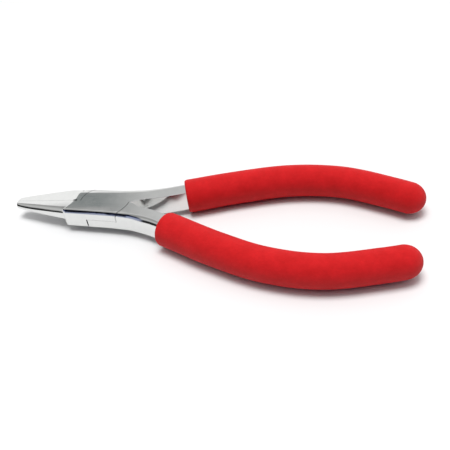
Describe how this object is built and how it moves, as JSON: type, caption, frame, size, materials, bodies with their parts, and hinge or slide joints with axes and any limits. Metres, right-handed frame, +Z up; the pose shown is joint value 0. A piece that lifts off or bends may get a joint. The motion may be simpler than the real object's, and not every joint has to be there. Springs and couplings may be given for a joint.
{
  "type": "flat nose pliers",
  "caption": "Slim flat nose pliers with a lapped, flush-riveted joint, tapered smooth jaws and bowed handles in round red sleeve grips.",
  "frame": {"origin": "on the pivot's axis, at the flat underside of the joint", "axes": "+X along the pliers towards the handles' ends, +Y across them, +Z up along the pivot's axis, out of the upper arm's flat face"},
  "size_m": [0.1298, 0.0511, 0.0105],
  "materials": {
    "polished_steel": "mirror-polished steel with fine polishing scratches",
    "rivet_steel": "steel, ground flush and polished with the arms",
    "red_grip": "satin red dipped foam with a very fine grain"
  },
  "bodies": {
    "upper": {"upper_arm": "polished_steel", "pivot_rivet": "rivet_steel", "upper_arm_grip": "red_grip"},
    "lower": {"lower_arm": "polished_steel", "lower_arm_grip": "red_grip"}
  },
  "joints": [
    {"name": "jaw_pivot", "type": "hinge", "parent": "upper", "child": "lower", "pos_m": [0, 0, 0.00325], "axis": [0, 0, -1], "range_deg": [0, 35]}
  ]
}
